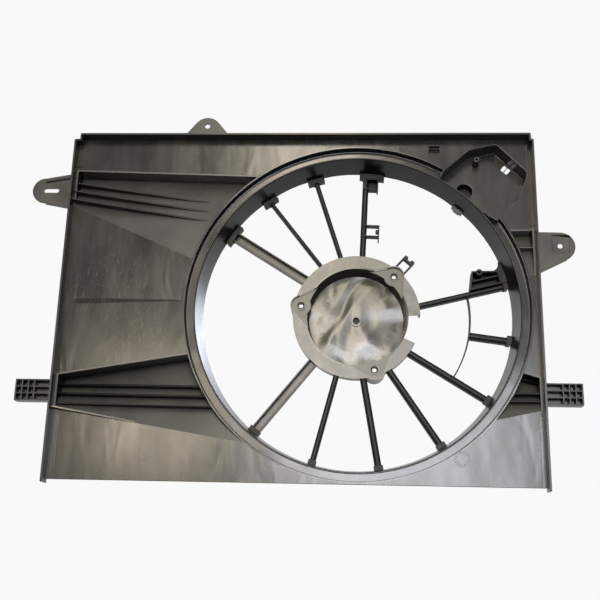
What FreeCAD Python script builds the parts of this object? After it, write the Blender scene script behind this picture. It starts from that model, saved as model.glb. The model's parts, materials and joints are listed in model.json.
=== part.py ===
import FreeCAD, Part
import os
from math import cos, sin, radians, degrees, atan2, hypot, sqrt

# Radiator fan shroud, one glass-filled plastic moulding modelled region by region.
# Millimetres.  X runs right, Z runs up, Y runs rearward, away from the radiator.
# The origin lies on the fan axis, in the radiator-side face of the flat panel.

V = FreeCAD.Vector

# ---------------------------------------------------------------- driving dimensions
# Flat panel and the walls around it
width = 650.0                # over the two side walls
right_margin = 7.5           # rim of the fan opening to the outer face of the right wall
top_margin = 12.5            # rim to the outer face of the top wall
bottom_margin = 1.5          # rim to the lower edge of the panel
skin = 2.5                   # wall thickness of the moulding
wall_depth = 18.0            # how far the walls stand towards the radiator
side_wall_drop = 5.0         # side walls reach this far below the panel
side_wall_gap = 9.0          # side walls stop this far under the top wall's face
wall_corner_r = 1.5          # front corners of the walls
top_wall_inset_left = 8.0    # top wall stops short of the left corner
top_wall_inset_right = 3.5   # top wall stops short of the right corner
strip_width = 9.0            # raised border strip inside the left wall
wide_strip_width = 15.0      # the same between the two left recesses
narrow_strip_width = 5.5     # and inside the right wall
strip_height = 1.2

# Fan opening
barrel_rear_r = 216.0        # inner radius of the barrel at its rear edge
barrel_draft = 6.0           # the barrel's mouth is wider by this much
ledge_width = 13.0           # from the barrel's mouth out to the rim, level with the panel
step_depth = 11.0            # from the panel down to the ledge
step_draft = 1.0             # the step leans in by this much
barrel_depth = 50.0          # panel face to the barrel's rear edge
bead_height = 2.0            # the barrel's mouth stands proud of the ledge
mouth_round = 1.0            # chamfer inside the barrel's mouth
rear_flange = 5.0            # flange that stiffens the barrel's rear edge
rear_flange_t = 3.0

# Motor hub
bolt_circle = 160.0          # the motor's screws
skirt_rim = 9.5              # skirt's edge outside the bolt circle, and mouth inside it
cup_draft = 3.5              # the cup narrows by this much down to its floor
skirt_depth = 14.0           # depth of the skirt's outer wall
cup_depth = 27.0             # skirt's face to the cup's floor at its edge
dish_r = 46.0                # the middle of the floor is raised towards the motor
dish_height = 0.8
dish_slope = 14.0            # radial length of the slope up to the raised middle
skirt_gap_angles = (-25.0, 1.5)      # the skirt is open between these two angles
shaft_hole_r = 5.0           # hole in the middle of the cup's floor
shaft_ring_r = 8.0
shaft_ring_height = 1.5
shaft_socket_depth = 2.5     # closed socket behind the hole
shaft_socket_t = 1.5

# Motor ears
bolt_hole_r = 3.2            # clears an M6 screw
ear_count = 3
first_ear_angle = 48.5
ear_tip_r = 13.5
ear_step = 4.0               # ears lie this far behind the skirt's face
ear_t = 4.0
ear_wall = 1.5               # skirt wall that follows the ear's tip
ear_half_angle = 25.0        # over which an ear meets the cup's mouth
ear_overhang = 1.0           # ears reach inward past the cup's mouth
ear_pad_r = 14.0             # rounded pad around the hole, reaching into the mouth
boss_r = 7.0
boss_height = 1.0
rear_boss_height = 2.0
bolt_seat = 2.0              # chamfer of the bolt hole

# Spokes
spoke_offset = -5.0          # spokes pass this far beside the fan axis
spoke_lead = 1.0             # spokes start this far ahead of the barrel's rear edge
spoke_depth = 12.0
channel_wall = 2.0
channel_floor = 3.0
spoke_round = 0.45           # radius of the front's two edges, as a share of the width
upper_spoke_angle = 147.3
upper_spoke_turn_angle = -19.8
upper_spoke_widths = (14.0, 5.0, 6.5, 8.8)
connector_spoke_angle = 13.8
connector_spoke_width = 8.0
short_spoke_angle = -7.7
short_spoke_width = 10.0
lower_spoke_angle = -31.9
lower_spoke_turn_angle = -24.2
lower_spoke_widths = (9.3, 9.3, 9.3, 7.8, 13.0)
foot_width = 18.0            # the upper spokes' feet are this much wider than the spoke
top_foot_width = 27.0        # the top spoke's foot also carries the box clip
top_foot_shift = -8.5
foot_margin = 3.0            # the other feet
foot_radial = 6.0
foot_depth = 10.0
foot_lead = 3.0              # feet start this far in front of the spokes
arc_rib_r = 158.5
arc_rib_t = 1.8
arc_rib_depth = 12.0
arc_rib_extra_angle = 3.0    # the arc runs this far under the first lower spoke

# Recesses behind the arms: line of the upper edge, line of the lower edge, depth
upper_left_depth = 27.0
upper_left_edge = ((-400.0, 198.0), (-147.0, 190.0))
upper_left_crease = ((-400.0, 143.5), (-230.0, 67.0))
lower_left_depth = 35.0
lower_left_edge = ((-400.0, -100.0), (-226.0, -70.0))
lower_left_crease = ((-400.0, -146.0), (-145.0, -187.5))
lower_right_depth = 30.0
lower_right_edge = ((218.0, -90.5), (240.0, -95.8))
lower_right_crease = ((181.0, -153.0), (240.0, -140.0))
upper_right_depth = 20.0
upper_right_edge = ((213.0, 109.5), (240.0, 110.2))
upper_right_crease = ((205.0, 40.0), (240.0, 46.0))
rib_t = 2.2

# Gussets of the upper-left arm: three ribs that taper away towards the ring
gusset_count = 3
gusset_pitch = 15.3
gusset_start_z = 182.0
gusset_end = (-212.0, 158.5)
gusset_height = 15.0         # height above the floor at the side wall

# Straight ribs of the two lower recesses
lower_rib_count = 3
lower_rib_top = -110.5
lower_rib_pitch = 14.0
lower_rib_height = 14.0
lower_rib_fall = 3.0         # lower by this much at the fan axis than at the side wall
right_rib_top = -117.0
right_rib_pitch = 10.5
right_rib_count = 2
right_rib_height = 23.0
hook_rib_height = 16.0
hook_rib_drop = 3.5          # below the recess's upper edge
hook_rib_length = 52.5
hook_rib_gap = 2.0           # to the right wall
upper_right_rib_z = 86.5
upper_right_rib_drop = 0.5   # below the panel's face
tail_rib_height = 9.0        # rib that follows the lower-left recess's lower line
tail_rib_length = 112.0
rib_end_height = 0.3

# Shallow fold in the left half of the panel
fold_z = 5.0
fold_height = 5.0
fold_right = -240.0
fold_crest = 2.0             # the crest lies this far above the step
fold_gap = 1.0               # to the recess's crease

# Upper-left arm
arm_t = 4.0
arm_front = -14.0
left_arm_reach = 54.0        # beyond the left wall
left_arm_top = 187.5
left_arm_bottom = 137.0
left_arm_z = 162.4           # height of the slot
left_arm_r = 18.5
slot_length = 21.5
slot_width = 6.6
slot_to_wall = 27.0          # slot centre to the wall
arm_rib_height = 5.0
arm_lip_height = 3.0         # lip on the front of the upper-left arm
arm_lip_inset = 5.0

# Upper-right arm
right_arm_reach = 49.0
right_arm_top = 103.0
right_arm_bottom = 45.5
right_arm_r = 20.0
right_arm_tip_z = 82.5
right_arm_tip_angle = -63.2  # where the slanted lower edge meets the rounded tip
pad_size = 23.0              # square recess around the hole
pad_depth = 2.0
pad_to_wall = 29.5
pad_z = 86.5
right_hole_r = 3.3
right_hole_shift = (-0.5, -3.0)

# Top ear
ear_x = -215.0
ear_height = 26.0
ear_base = 61.0
ear_top_r = 20.0
top_hole_r = 3.8
top_hole_z = 13.0            # above the top wall

# Ribbed pegs that drop into the radiator's side brackets
peg_height = 29.0
left_peg_reach = 47.0
right_peg_reach = 47.0
left_peg_z = -124.0
right_peg_z = -120.5
peg_front = -15.0
peg_depth = 15.0
peg_web = 2.5
peg_rib_t = 2.0
peg_row_count = 4
peg_column_count = 4
peg_column_pitch = 8.2

# Control module pocket in the upper right corner
pocket_depth = 28.0
pocket_outline = (           # this and the places below: from the upper right corner
    (-133.0, -68.0), (-122.5, -49.5), (-87.0, -18.5), (-53.5, -10.3),
    (-48.5, -10.3), (-8.5, -51.5), (-9.7, -60.5), (-21.5, -92.5), (-52.0, -122.0),
)
module_boss_offset = (-76.0, -28.0)
module_boss_r = 4.3
module_boss_base_r = 5.2
module_boss_height = 19.0
module_pilot_r = 1.6
module_pilot_end = 3.0       # the pilot hole stops this far above the floor
grommet_offset = (-92.5, -69.6)
grommet_r = 11.5
grommet_depth = 16.0
window_offset = (-33.0, -36.0)
window_size = (12.0, 10.0)
window_angle = -40.0
window_bar = 1.5

# Clip pocket near the top wall
clip_pocket_offset = (-136.7, -18.0)     # from the upper right corner
clip_pocket_size = (15.0, 12.0)
clip_pocket_depth = 9.0
latch_drop = 3.5             # latch bar, below the pocket's upper side
latch_t = 1.2
latch_lead = 2.0             # and behind the panel's face

# Harness clips, connector bracket and barrel tab
clip_lead = 2.0              # the top spoke's clips cross its front this far out
clip_wall = 2.0
box_clip_reach = 14.0        # beyond the side of the spoke
box_clip_length = 17.0
box_clip_depth = 13.0
box_clip_lip = 3.5           # how much of the spoke's width stays covered
clip_spur = 3.0
blade_clip_r = (119.0, 137.0)
blade_clip_reach = 18.0
blade_clip_depth = 9.0
blade_spur = 6.0             # the outer bar runs on this far past the lower blade
blade_t = 1.8
hub_clip_width = 17.0
hub_clip_reach = 20.0
hub_clip_bar = 7.0           # thickness of its outer bar
hub_clip_depth = 9.0
hub_clip_notch = 6.0
bracket_run = 53.0           # barrel's rear edge to the bracket's inner end, along its spoke
bracket_lean = 10.0          # the inner end leans outward by this much
bracket_length = 47.0
bracket_height = 27.0        # above the spoke at the inner end
bracket_slant = 8.0          # lower by this much at the outer end
bracket_lead = 4.0           # stands this far in front of the spoke
bracket_depth = 20.0
bracket_boss_r = 4.8
bracket_boss_lead = 2.0
bracket_pilot_depth = 14.0
bracket_shelf = 12.0         # height of the shelf inside
bracket_web_t = 5.0          # web that rounds the corner up to the barrel
bracket_web_r = 11.0
bracket_web_gap = 1.5
tab_angle = 48.0
tab_width = 18.0
tab_neck = 10.0
tab_radial = 5.0
tab_shoulder = 3.5           # the wide part of the tab starts this far inside the barrel
tab_lead = 5.0
tab_depth = 3.0

# Round marks of the gate and the date insert, and ejector marks
gate_mark_offset = (127.0, 35.0)         # from the lower left corner
gate_mark_r = 8.5
gate_dish_r = 6.0
gate_dish_depth = 0.5
gate_pip_r = 2.1
gate_pip_height = 1.2
insert_mark_offset = (-108.0, 35.5)      # from the lower right corner
insert_mark_r = 10.3
insert_groove_r = (7.7, 8.8)
insert_groove_depth = 0.4
mark_height = 0.8
ejector_r = 4.0
ejector_height = 0.3
top_ejector_offset = (249.0, -15.0)      # from the upper left corner
low_ejector_offset = (-40.0, 49.0)       # from the lower right corner
strip_ejector_inset = 9.2                # from the left wall's inner face
strip_ejector_z = (57.5, -22.0)

# Cutting solids run this far past the surfaces that they cut
over = 1.0

# ---------------------------------------------------------------- worked-out dimensions
barrel_front_r = barrel_rear_r + barrel_draft
rim_r = barrel_front_r + ledge_width
rim_out = rim_r + skin
right_x = rim_out + right_margin
left_x = right_x - width
top_z = rim_out + top_margin
bottom_z = -rim_out - bottom_margin
left_in = left_x + skin
right_in = right_x - skin
top_in = top_z - skin
wall_bottom = bottom_z - side_wall_drop
wall_top = top_z - side_wall_gap
ledge_back = step_depth + skin
barrel_mouth = step_depth - bead_height
bolt_r = bolt_circle / 2.0
skirt_r = bolt_r + skirt_rim
mouth_r = bolt_r - skirt_rim
disc_r = mouth_r - cup_draft
hub_front = barrel_depth
ear_front = hub_front + ear_step
skirt_back = hub_front + skirt_depth
cup_floor = hub_front + cup_depth
cup_back = cup_floor + skin
spoke_front = barrel_depth - spoke_lead
spoke_back = spoke_front + spoke_depth
bracket_r = barrel_rear_r - bracket_run
reach = 2.0 * width
strip_clear = 3.0 * skin     # border strips stop this far short of a recess
ear_inner_r = mouth_r - ear_overhang
upper_left_corner = (left_x, top_z)
upper_right_corner = (right_x, top_z)
lower_left_corner = (left_x, bottom_z)
lower_right_corner = (right_x, bottom_z)


def place(corner, offset):
    """Point (x, z) that lies at an offset from a corner of the panel."""
    return (corner[0] + offset[0], corner[1] + offset[1])


pocket_points = [place(upper_right_corner, point) for point in pocket_outline]
module_boss_at = place(upper_right_corner, module_boss_offset)
grommet_at = place(upper_right_corner, grommet_offset)
window_at = place(upper_right_corner, window_offset)
clip_pocket_at = place(upper_right_corner, clip_pocket_offset)


def barrel_r(y):
    """Inner radius of the barrel at depth y."""
    part = (y - barrel_mouth) / (barrel_depth - barrel_mouth)
    return barrel_front_r + part * (barrel_rear_r - barrel_front_r)


# ---------------------------------------------------------------- building blocks
def prism(points, y0, y1):
    """Solid whose outline is given in (x, z) and runs from y0 to y1."""
    corners = [V(x, y0, z) for x, z in points]
    face = Part.Face(Part.makePolygon(corners + corners[:1]))
    return face.extrude(V(0, y1 - y0, 0))


def block(x0, x1, y0, y1, z0, z1):
    return Part.makeBox(x1 - x0, y1 - y0, z1 - z0, V(x0, y0, z0))


def disc(x, z, r, y0, y1):
    return Part.makeCylinder(r, y1 - y0, V(x, y0, z), V(0, 1, 0))


def turned(profile):
    """Solid of revolution about the fan axis; the profile is in (radius, y)."""
    corners = [V(r, y, 0) for r, y in profile]
    face = Part.Face(Part.makePolygon(corners + corners[:1]))
    return face.revolve(V(0, 0, 0), V(0, 1, 0), 360)


def polar(r, angle):
    return (r * cos(radians(angle)), r * sin(radians(angle)))


def swung(shape, angle, centre=(0.0, 0.0)):
    """Turn a shape about a line along Y, from +X towards +Z."""
    turned_shape = shape.copy()
    turned_shape.rotate(V(centre[0], 0, centre[1]), V(0, 1, 0), -angle)
    return turned_shape


def sector(start, end, r, y0, y1):
    """Pie-shaped solid between two angles."""
    steps = 12
    arc = [polar(r, start + (end - start) * i / steps) for i in range(steps + 1)]
    return prism([(0.0, 0.0)] + arc, y0, y1)


def line_z(line, x):
    """Height at x of the straight line through two points."""
    (x0, z0), (x1, z1) = line
    return z0 + (z1 - z0) * (x - x0) / (x1 - x0)


def section_loft(x0, section0, x1, section1):
    """Straight-sided solid between two sections given in (z, y)."""
    wires = []
    for x, section in ((x0, section0), (x1, section1)):
        corners = [V(x, y, z) for z, y in section]
        wires.append(Part.makePolygon(corners + corners[:1]))
    return Part.makeLoft(wires, True, True)


# ---------------------------------------------------------------- recesses
def recess_void(x0, x1, edge, crease, depth):
    """Hollow with an upright wall along the edge line and a floor rising to the crease."""
    sections = []
    for x in (x0, x1):
        upper = line_z(edge, x)
        sections.append([(upper, 0.0), (upper, depth), (line_z(crease, x), 0.0)])
    return section_loft(x0, sections[0], x1, sections[1])


def recess_body(x0, x1, edge, crease, depth):
    """The same hollow with its wall and floor thickness added."""
    sections = []
    for x in (x0, x1):
        upper = line_z(edge, x) + skin
        lower = line_z(crease, x)
        sections.append([(upper, 0.0), (upper, depth + skin), (lower, skin), (lower, 0.0)])
    return section_loft(x0, sections[0], x1, sections[1])


def make_recess(x_wall, x_ring, edge, crease, depth):
    """Return the hollow, the space that the panel leaves free and the moulded shell."""
    inward = skin if x_ring > x_wall else -skin
    ends = sorted((x_wall, x_ring))
    void_ends = sorted((x_wall + inward, x_ring))
    hollow = recess_void(void_ends[0], void_ends[1], edge, crease, depth)
    hollow = hollow.cut(disc(0, 0, rim_out, -reach, reach))
    body = recess_body(ends[0], ends[1], edge, crease, depth)
    body = body.cut(disc(0, 0, rim_r, -reach, reach))
    shell = body.cut(hollow).cut(disc(0, 0, rim_out, -over, ledge_back))
    return hollow, body, shell


# The recesses are built this far in under the ring, which then cuts them back
ring_reach = 0.6 * rim_r
short_reach = 0.8 * rim_r
upper_left = make_recess(left_in, -ring_reach, upper_left_edge, upper_left_crease,
                         upper_left_depth)
lower_left = make_recess(left_in, -ring_reach, lower_left_edge, lower_left_crease,
                         lower_left_depth)
lower_right = make_recess(right_in, ring_reach, lower_right_edge, lower_right_crease,
                          lower_right_depth)
upper_right = make_recess(right_in, short_reach, upper_right_edge, upper_right_crease,
                          upper_right_depth)
recesses = (upper_left, lower_left, lower_right, upper_right)


def strip_rib(start, end, y0_start, y0_end, y1):
    """Thin rib along a line in (x, z); its front edge runs from y0_start to y0_end."""
    length = hypot(end[0] - start[0], end[1] - start[1])
    corners = [V(0, y0_start, 0), V(length, y0_end, 0), V(length, y1, 0), V(0, y1, 0)]
    rib = Part.Face(Part.makePolygon(corners + corners[:1])).extrude(V(0, 0, rib_t))
    rib.translate(V(0, 0, -rib_t / 2.0))
    rib.rotate(V(0, 0, 0), V(0, 1, 0), -degrees(atan2(end[1] - start[1], end[0] - start[0])))
    rib.translate(V(start[0], 0, start[1]))
    return rib


def floor_rib(hollow, start, end, height):
    """Rib that stands on a recess's floor to an even height, no higher than the panel."""
    above = hollow.translated(V(0, -height, 0))
    return strip_rib(start, end, 0.0, 0.0, reach).common(hollow).cut(above)


# ---------------------------------------------------------------- module pocket
def offset_prism(points, distance, y0, y1):
    """Prism whose outline is moved outward by a distance, with sharp corners."""
    corners = [V(x, 0, z) for x, z in points]
    wire = Part.makePolygon(corners + corners[:1])
    face = Part.Face(wire.makeOffset2D(distance, 2))
    face.translate(V(0, y0, 0))
    return face.extrude(V(0, y1 - y0, 0))


barrel_plug = turned([
    (0.0, -over), (barrel_r(-over) + skin, -over),
    (barrel_rear_r + skin, barrel_depth), (0.0, barrel_depth),
])
pocket_hollow = prism(pocket_points, -over, pocket_depth).cut(barrel_plug)
pocket_body = offset_prism(pocket_points, skin, 0.0, pocket_depth + skin).cut(barrel_plug)
pocket_right = block(right_in, reach, -reach, reach, -reach, reach)
pocket_body = pocket_body.cut(pocket_right)


# ---------------------------------------------------------------- panel and perimeter
def make_panel():
    outline = [
        (left_in, bottom_z), (right_in, bottom_z), (right_in, wall_top),
        (right_x - top_wall_inset_right, wall_top), (right_x - top_wall_inset_right, top_in),
        (left_x + top_wall_inset_left, top_in), (left_x + top_wall_inset_left, wall_top),
        (left_in, wall_top),
    ]
    panel = prism(outline, 0.0, skin)
    panel = panel.cut(disc(0, 0, rim_out, -over, skin + over))
    for hollow, body, shell in recesses:
        panel = panel.cut(body)
    panel = panel.cut(pocket_body)
    return panel.cut(clip_pocket_block(skin, -over, clip_pocket_depth + skin))


def make_top_wall():
    x0 = left_x + top_wall_inset_left
    x1 = right_x - top_wall_inset_right
    wall = block(x0, x1, -wall_depth, skin, top_in, top_z)
    corners = [edge for edge in wall.Edges
               if edge.Vertexes[0].Y < 0 and edge.Vertexes[-1].Y < 0
               and abs(edge.Vertexes[0].X - edge.Vertexes[-1].X) < 1e-6
               and abs(edge.Vertexes[0].Z - edge.Vertexes[-1].Z) > 1.0]
    wall = wall.makeFillet(wall_corner_r, corners)
    for x in (x0, x1 - skin):
        wall = wall.fuse(block(x, x + skin, -wall_depth, 0.0, wall_top - skin, top_in))
    return wall.removeSplitter()


def make_side_wall(x0, shelf_x0, shelf_x1):
    """Side wall with the small shelf that closes its corner under the top wall."""
    wall = block(x0, x0 + skin, -wall_depth, skin, wall_bottom, wall_top)
    corners = [edge for edge in wall.Edges
               if edge.Vertexes[0].Y < 0 and edge.Vertexes[-1].Y < 0
               and abs(edge.Vertexes[0].X - edge.Vertexes[-1].X) > 1.0]
    wall = wall.makeFillet(wall_corner_r, corners)
    shelf = block(shelf_x0, shelf_x1, -wall_depth, 0.0, wall_top - skin, wall_top)
    return wall.fuse(shelf).removeSplitter()


def make_strips(stretches):
    """Raised strips on the panel beside a side wall, each given as (x0, x1, z0, z1)."""
    strips = [block(x0, x1, -strip_height, 0.0, z0, z1) for x0, x1, z0, z1 in stretches]
    return Part.makeCompound(strips)


def clip_pocket_block(margin, y0, y1):
    half_x = clip_pocket_size[0] / 2.0 + margin
    half_z = clip_pocket_size[1] / 2.0 + margin
    x, z = clip_pocket_at
    return block(x - half_x, x + half_x, y0, y1, z - half_z, z + half_z)


main_panel = make_panel()


def make_clip_pocket():
    body = clip_pocket_block(skin, 0.0, clip_pocket_depth + skin)
    body = body.cut(clip_pocket_block(0.0, -over, clip_pocket_depth))
    x, z = clip_pocket_at
    half_x = clip_pocket_size[0] / 2.0
    bar_z = z + clip_pocket_size[1] / 2.0 - latch_drop
    bar = block(x - half_x, x + half_x, latch_lead, clip_pocket_depth, bar_z, bar_z + latch_t)
    return body.fuse(bar).removeSplitter()


def make_fold():
    """Shallow ramp from the crease down to a small step at fold_z."""
    x0 = left_in + wide_strip_width
    x1 = fold_right
    sections = []
    for x, height in ((x0, fold_height), (x1, rib_end_height)):
        upper = line_z(upper_left_crease, x) - fold_gap
        sections.append([(upper, 0.0), (fold_z + fold_crest, -height), (fold_z - height, 0.0)])
    return section_loft(x0, sections[0], x1, sections[1])


# ---------------------------------------------------------------- fan opening
def make_bellmouth():
    front_r = barrel_r(step_depth) + skin
    back_r = barrel_r(ledge_back) + skin
    profile = [
        (rim_out, 0.0), (rim_r, 0.0), (rim_r - step_draft, step_depth),
        (front_r, step_depth), (back_r, ledge_back), (rim_out, ledge_back),
    ]
    ring = turned(profile)
    return ring.cut(pocket_body)


def make_barrel():
    mouth_in = barrel_front_r
    mouth_out = barrel_front_r + skin
    profile = [
        (mouth_in + mouth_round, barrel_mouth), (mouth_out, barrel_mouth),
        (barrel_rear_r + skin, barrel_depth), (barrel_rear_r, barrel_depth),
        (mouth_in, barrel_mouth + mouth_round),
    ]
    return turned(profile)


def make_rear_flange():
    inner = barrel_rear_r + skin
    y0 = barrel_depth - rear_flange_t
    inner_front = barrel_r(y0) + skin
    profile = [
        (inner_front, y0), (inner + rear_flange, y0),
        (inner + rear_flange, barrel_depth), (inner, barrel_depth),
    ]
    return turned(profile)


# ---------------------------------------------------------------- motor hub
def ear_angles():
    return [first_ear_angle + 360.0 / ear_count * i for i in range(ear_count)]


def ear_outline(margin):
    """Rounded triangle of one ear, pointing along +X; margin widens it."""
    tip_r = ear_tip_r + margin
    base = polar(mouth_r, ear_half_angle)
    dx = base[0] - bolt_r
    dz = base[1] + margin
    distance = hypot(dx, dz)
    touch = atan2(dz, dx) - atan2(sqrt(distance ** 2 - tip_r ** 2), tip_r)
    tangent = (bolt_r + tip_r * cos(touch), tip_r * sin(touch))
    upper = V(base[0], 0, base[1] + margin)
    lower = V(base[0], 0, -base[1] - margin)
    first = V(tangent[0], 0, tangent[1])
    last = V(tangent[0], 0, -tangent[1])
    root = 0.5 * mouth_r
    start = V(root, 0, upper.z)
    end = V(root, 0, lower.z)
    edges = [
        Part.LineSegment(start, upper).toShape(),
        Part.LineSegment(upper, first).toShape(),
        Part.Arc(first, V(bolt_r + tip_r, 0, 0), last).toShape(),
        Part.LineSegment(last, lower).toShape(),
        Part.LineSegment(lower, end).toShape(),
        Part.LineSegment(end, start).toShape(),
    ]
    return Part.Face(Part.Wire(edges))


def ear_blank(angle, margin, y0, y1):
    face = ear_outline(margin)
    face.translate(V(0, y0, 0))
    return swung(face.extrude(V(0, y1 - y0, 0)), angle)


cup_out_mouth = mouth_r + skin
cup_out_floor = disc_r + skin


def make_cup_wall():
    """Tapered wall of the cup, cut back under the ears that overhang it."""
    wall = turned([
        (mouth_r, hub_front), (cup_out_mouth, hub_front),
        (cup_out_floor, cup_back), (disc_r, cup_back), (disc_r, cup_floor),
    ])
    for angle in ear_angles():
        wall = wall.cut(ear_blank(angle, 0.0, hub_front - over, ear_front + ear_t))
    return wall


cup_plug = turned([
    (0.0, hub_front), (cup_out_mouth, hub_front),
    (cup_out_floor, cup_back), (0.0, cup_back),
])


def make_cup_floor():
    """Floor with a raised middle and a ring around the shaft hole."""
    top = cup_floor - dish_height
    ring_top = top - shaft_ring_height
    return turned([
        (disc_r, cup_floor), (dish_r + dish_slope, cup_floor), (dish_r, top),
        (shaft_ring_r, top), (shaft_ring_r, ring_top), (shaft_hole_r, ring_top),
        (shaft_hole_r, top + skin), (dish_r, top + skin), (dish_r + dish_slope, cup_back),
        (disc_r, cup_back),
    ])


def make_shaft_socket():
    """Closed socket behind the shaft hole."""
    y0 = cup_floor - dish_height + skin
    y1 = y0 + shaft_socket_depth
    socket = disc(0, 0, shaft_ring_r, y0, y1)
    return socket.cut(disc(0, 0, shaft_hole_r, y0 - over, y1 - shaft_socket_t))


def make_skirt():
    """C-shaped skirt: a front face, an outer wall and a deeper bulge around each ear."""
    outer = disc(0, 0, skirt_r, hub_front, skirt_back)
    inner = disc(0, 0, skirt_r - skin, hub_front + skin, skirt_back + over)
    for angle in ear_angles():
        outer = outer.fuse(ear_blank(angle, ear_wall, hub_front, cup_back))
        inner = inner.fuse(ear_blank(angle, 0.0, hub_front - over, cup_back + over))
    gap = sector(*skirt_gap_angles, 2.0 * skirt_r, hub_front - over, skirt_back + over)
    return outer.cut(inner).cut(gap).cut(cup_plug).removeSplitter()


def make_ear(angle):
    """Motor ear with its boss and a rounded pad that reaches into the cup's mouth."""
    blank = ear_blank(angle, 0.0, ear_front, ear_front + ear_t)
    x, z = polar(bolt_r, angle)
    pad = disc(x, z, ear_pad_r, -reach, reach)
    ear = blank.cut(disc(0, 0, ear_inner_r, -reach, reach)).fuse(blank.common(pad))
    ear = ear.fuse(disc(x, z, boss_r, ear_front - boss_height, ear_front))
    ear_back = ear_front + ear_t
    ear = ear.fuse(disc(x, z, boss_r, ear_back, ear_back + rear_boss_height))
    ear = ear.cut(disc(x, z, bolt_hole_r, hub_front - over, skirt_back + over))
    seat = Part.makeCone(bolt_hole_r + bolt_seat, bolt_hole_r, bolt_seat,
                         V(x, ear_front - boss_height, z), V(0, 1, 0))
    return ear.cut(seat).removeSplitter()


# ---------------------------------------------------------------- spokes
skirt_plug = disc(0, 0, skirt_r, -reach, reach)
for ear_angle in ear_angles():
    skirt_plug = skirt_plug.fuse(ear_blank(ear_angle, ear_wall, -reach, reach))


def barrel_inside():
    """Space inside the barrel, where the spokes may lie."""
    return turned([
        (0.0, barrel_mouth), (barrel_front_r, barrel_mouth), (barrel_rear_r, barrel_depth),
        (barrel_rear_r, cup_back), (0.0, cup_back),
    ])


opening = barrel_inside()


def spoke_blank(width_mm, hollow):
    """Spoke along +X from the hub's centre to past the barrel."""
    half = width_mm / 2.0
    blank = block(0.0, rim_r, spoke_front, spoke_back, spoke_offset - half, spoke_offset + half)
    if hollow:
        cut = block(-over, rim_r + over, spoke_front - over, spoke_back - channel_floor,
                    spoke_offset - half + channel_wall, spoke_offset + half - channel_wall)
        return blank.cut(cut)
    front = [edge for edge in blank.Edges
             if abs(edge.Vertexes[0].Y - spoke_front) < 1e-6
             and abs(edge.Vertexes[-1].Y - spoke_front) < 1e-6
             and abs(edge.Vertexes[0].X - edge.Vertexes[-1].X) > 1.0]
    return blank.makeFillet(spoke_round * width_mm, front)


foot_inner = barrel_rear_r - foot_radial


def make_spoke(angle, width_mm, hollow=False, inner_r=None):
    spoke = swung(spoke_blank(width_mm, hollow), angle).common(opening)
    spoke = spoke.common(disc(0, 0, foot_inner, -reach, reach))
    if inner_r is None:
        return spoke.cut(skirt_plug)
    return spoke.cut(disc(0, 0, inner_r, -reach, reach))


def make_foot(angle, width_mm, extra, shift=0.0):
    """Thickened end that ties a spoke to the barrel's rear edge."""
    half = (width_mm + extra) / 2.0
    centre = spoke_offset + shift
    foot = block(0.0, rim_r, spoke_front - foot_lead, spoke_front + foot_depth,
                 centre - half, centre + half)
    core_half = (width_mm + foot_margin) / 2.0
    core = block(0.0, rim_r, spoke_front - foot_lead, spoke_back,
                 spoke_offset - core_half, spoke_offset + core_half)
    foot = swung(foot.fuse(core), angle).common(opening)
    return foot.cut(disc(0, 0, foot_inner, -reach, reach)).removeSplitter()


spokes = []
for i, spoke_width in enumerate(upper_spoke_widths):
    spokes.append((upper_spoke_angle + i * upper_spoke_turn_angle, spoke_width, i == 0))
spokes.append((connector_spoke_angle, connector_spoke_width, False))
spokes.append((short_spoke_angle, short_spoke_width, False))
for i, spoke_width in enumerate(lower_spoke_widths):
    last = i == len(lower_spoke_widths) - 1
    spokes.append((lower_spoke_angle + i * lower_spoke_turn_angle, spoke_width, last))


def make_arc_rib():
    rib = disc(0, 0, arc_rib_r + arc_rib_t / 2.0, spoke_front, spoke_front + arc_rib_depth)
    rib = rib.cut(disc(0, 0, arc_rib_r - arc_rib_t / 2.0, 0.0, reach))
    rib = rib.common(sector(lower_spoke_angle - arc_rib_extra_angle, connector_spoke_angle, rim_r,
                            0.0, reach))
    for angle in (connector_spoke_angle, lower_spoke_angle):
        width_mm = connector_spoke_width if angle > 0 else lower_spoke_widths[0]
        half = width_mm / 2.0
        bar = block(0.0, rim_r, 0.0, reach, spoke_offset - half, spoke_offset + half)
        side = block(0.0, rim_r, 0.0, reach, spoke_offset, spoke_offset + rim_r)
        if angle < 0:
            side = block(0.0, rim_r, 0.0, reach, spoke_offset - rim_r, spoke_offset)
        rib = rib.cut(swung(bar.fuse(side), angle))
    return rib


# ---------------------------------------------------------------- arms, ear and pegs
def make_left_arm():
    tip_x = left_x - left_arm_reach
    centre_x = tip_x + left_arm_r
    blank = prism([
        (left_x, left_arm_bottom), (left_x, left_arm_top),
        (centre_x, left_arm_z + left_arm_r), (centre_x, left_arm_z - left_arm_r),
    ], arm_front, arm_front + arm_t)
    blank = blank.fuse(disc(centre_x, left_arm_z, left_arm_r, arm_front, arm_front + arm_t))
    slot_x = left_x - slot_to_wall
    half = (slot_length - slot_width) / 2.0
    y0 = arm_front - over
    y1 = arm_front + arm_t + over
    slot = block(slot_x - half, slot_x + half, y0, y1,
                 left_arm_z - slot_width / 2.0, left_arm_z + slot_width / 2.0)
    for x in (slot_x - half, slot_x + half):
        slot = slot.fuse(disc(x, left_arm_z, slot_width / 2.0, y0, y1))
    return blank.cut(slot).removeSplitter()


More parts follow.
